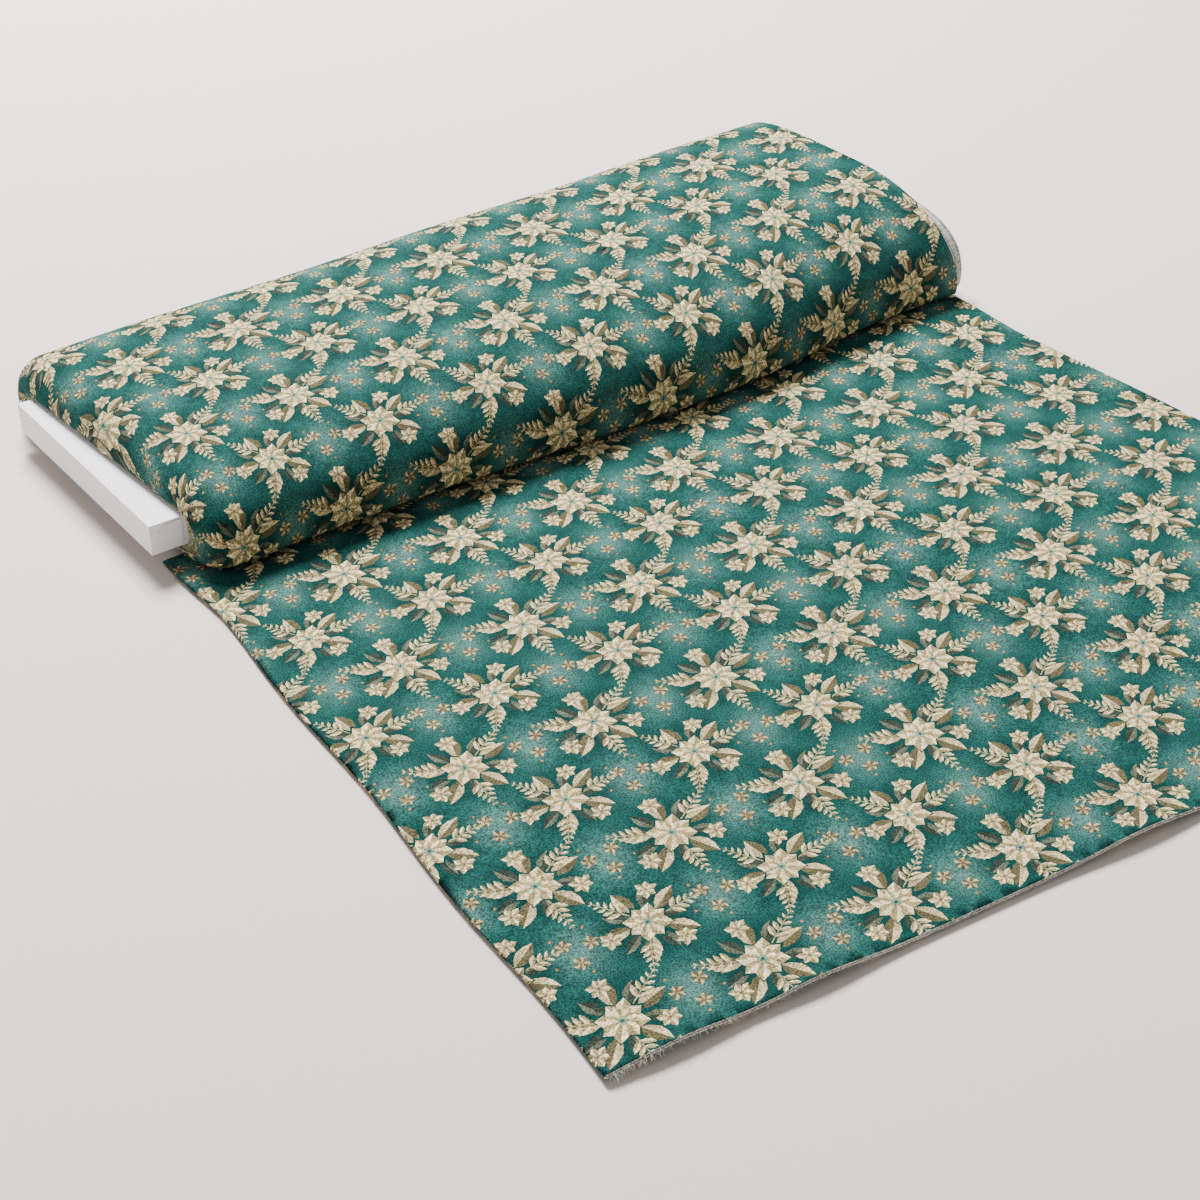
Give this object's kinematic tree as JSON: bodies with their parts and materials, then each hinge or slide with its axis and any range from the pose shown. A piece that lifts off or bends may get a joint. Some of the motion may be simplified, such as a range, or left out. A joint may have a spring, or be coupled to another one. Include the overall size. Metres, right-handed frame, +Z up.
{
  "type": "fabric bolt",
  "caption": "Flat bolt of folded printed cotton wound on a capped paperboard core, lying on its side with a free length of cloth pulled open in front.",
  "frame": {"origin": "on the resting plane, under the middle of the wound cloth (the centre of the roll's flat underside)", "axes": "+X along the bolt from the fold end of the cloth to the selvedge end, +Y away from the open cloth, +Z up"},
  "size_m": [0.6061, 0.6846, 0.056],
  "materials": {
    "printed_cotton": "matte plain weave, floral and architectural print in teal and cream",
    "plain_cotton": "matte plain weave, pale reverse side and selvedges",
    "white_paperboard": "smooth white matte liner",
    "corrugated_board": "brown corrugated board",
    "paper_tape": "cream crepe paper tape"
  },
  "bodies": {
    "wound_cloth": {"wound_pack": "plain_cotton", "outer_turn": "printed_cotton"},
    "board": {"board_top_panel": "white_paperboard", "board_bottom_panel": "white_paperboard", "board_front_wall": "white_paperboard", "board_back_wall": "white_paperboard", "board_rib_1": "corrugated_board", "board_rib_2": "corrugated_board", "board_rib_3": "corrugated_board", "start_tape": "paper_tape"},
    "left_cap": {"end_cap_left": "white_paperboard", "cap_ear_left_front": "white_paperboard", "cap_ear_left_back": "white_paperboard"},
    "right_cap": {"end_cap_right": "white_paperboard", "cap_ear_right_front": "white_paperboard", "cap_ear_right_back": "white_paperboard"},
    "leaf": {"leaf_lower_ply": "printed_cotton", "leaf_upper_ply": "printed_cotton"}
  },
  "joints": [
    {"name": "board_slide", "type": "slide", "parent": "wound_cloth", "child": "board", "axis": [-1, 0, 0], "range_m": [0, 0.58]},
    {"name": "left_cap_pull", "type": "slide", "parent": "board", "child": "left_cap", "axis": [-1, 0, 0], "range_m": [0, 0.03]},
    {"name": "right_cap_pull", "type": "slide", "parent": "board", "child": "right_cap", "axis": [1, 0, 0], "range_m": [0, 0.03]},
    {"name": "leaf_lift", "type": "hinge", "parent": "wound_cloth", "child": "leaf", "pos_m": [0, -0.118, 0.00115], "axis": [-1, 0, 0], "range_deg": [0, 90]}
  ]
}
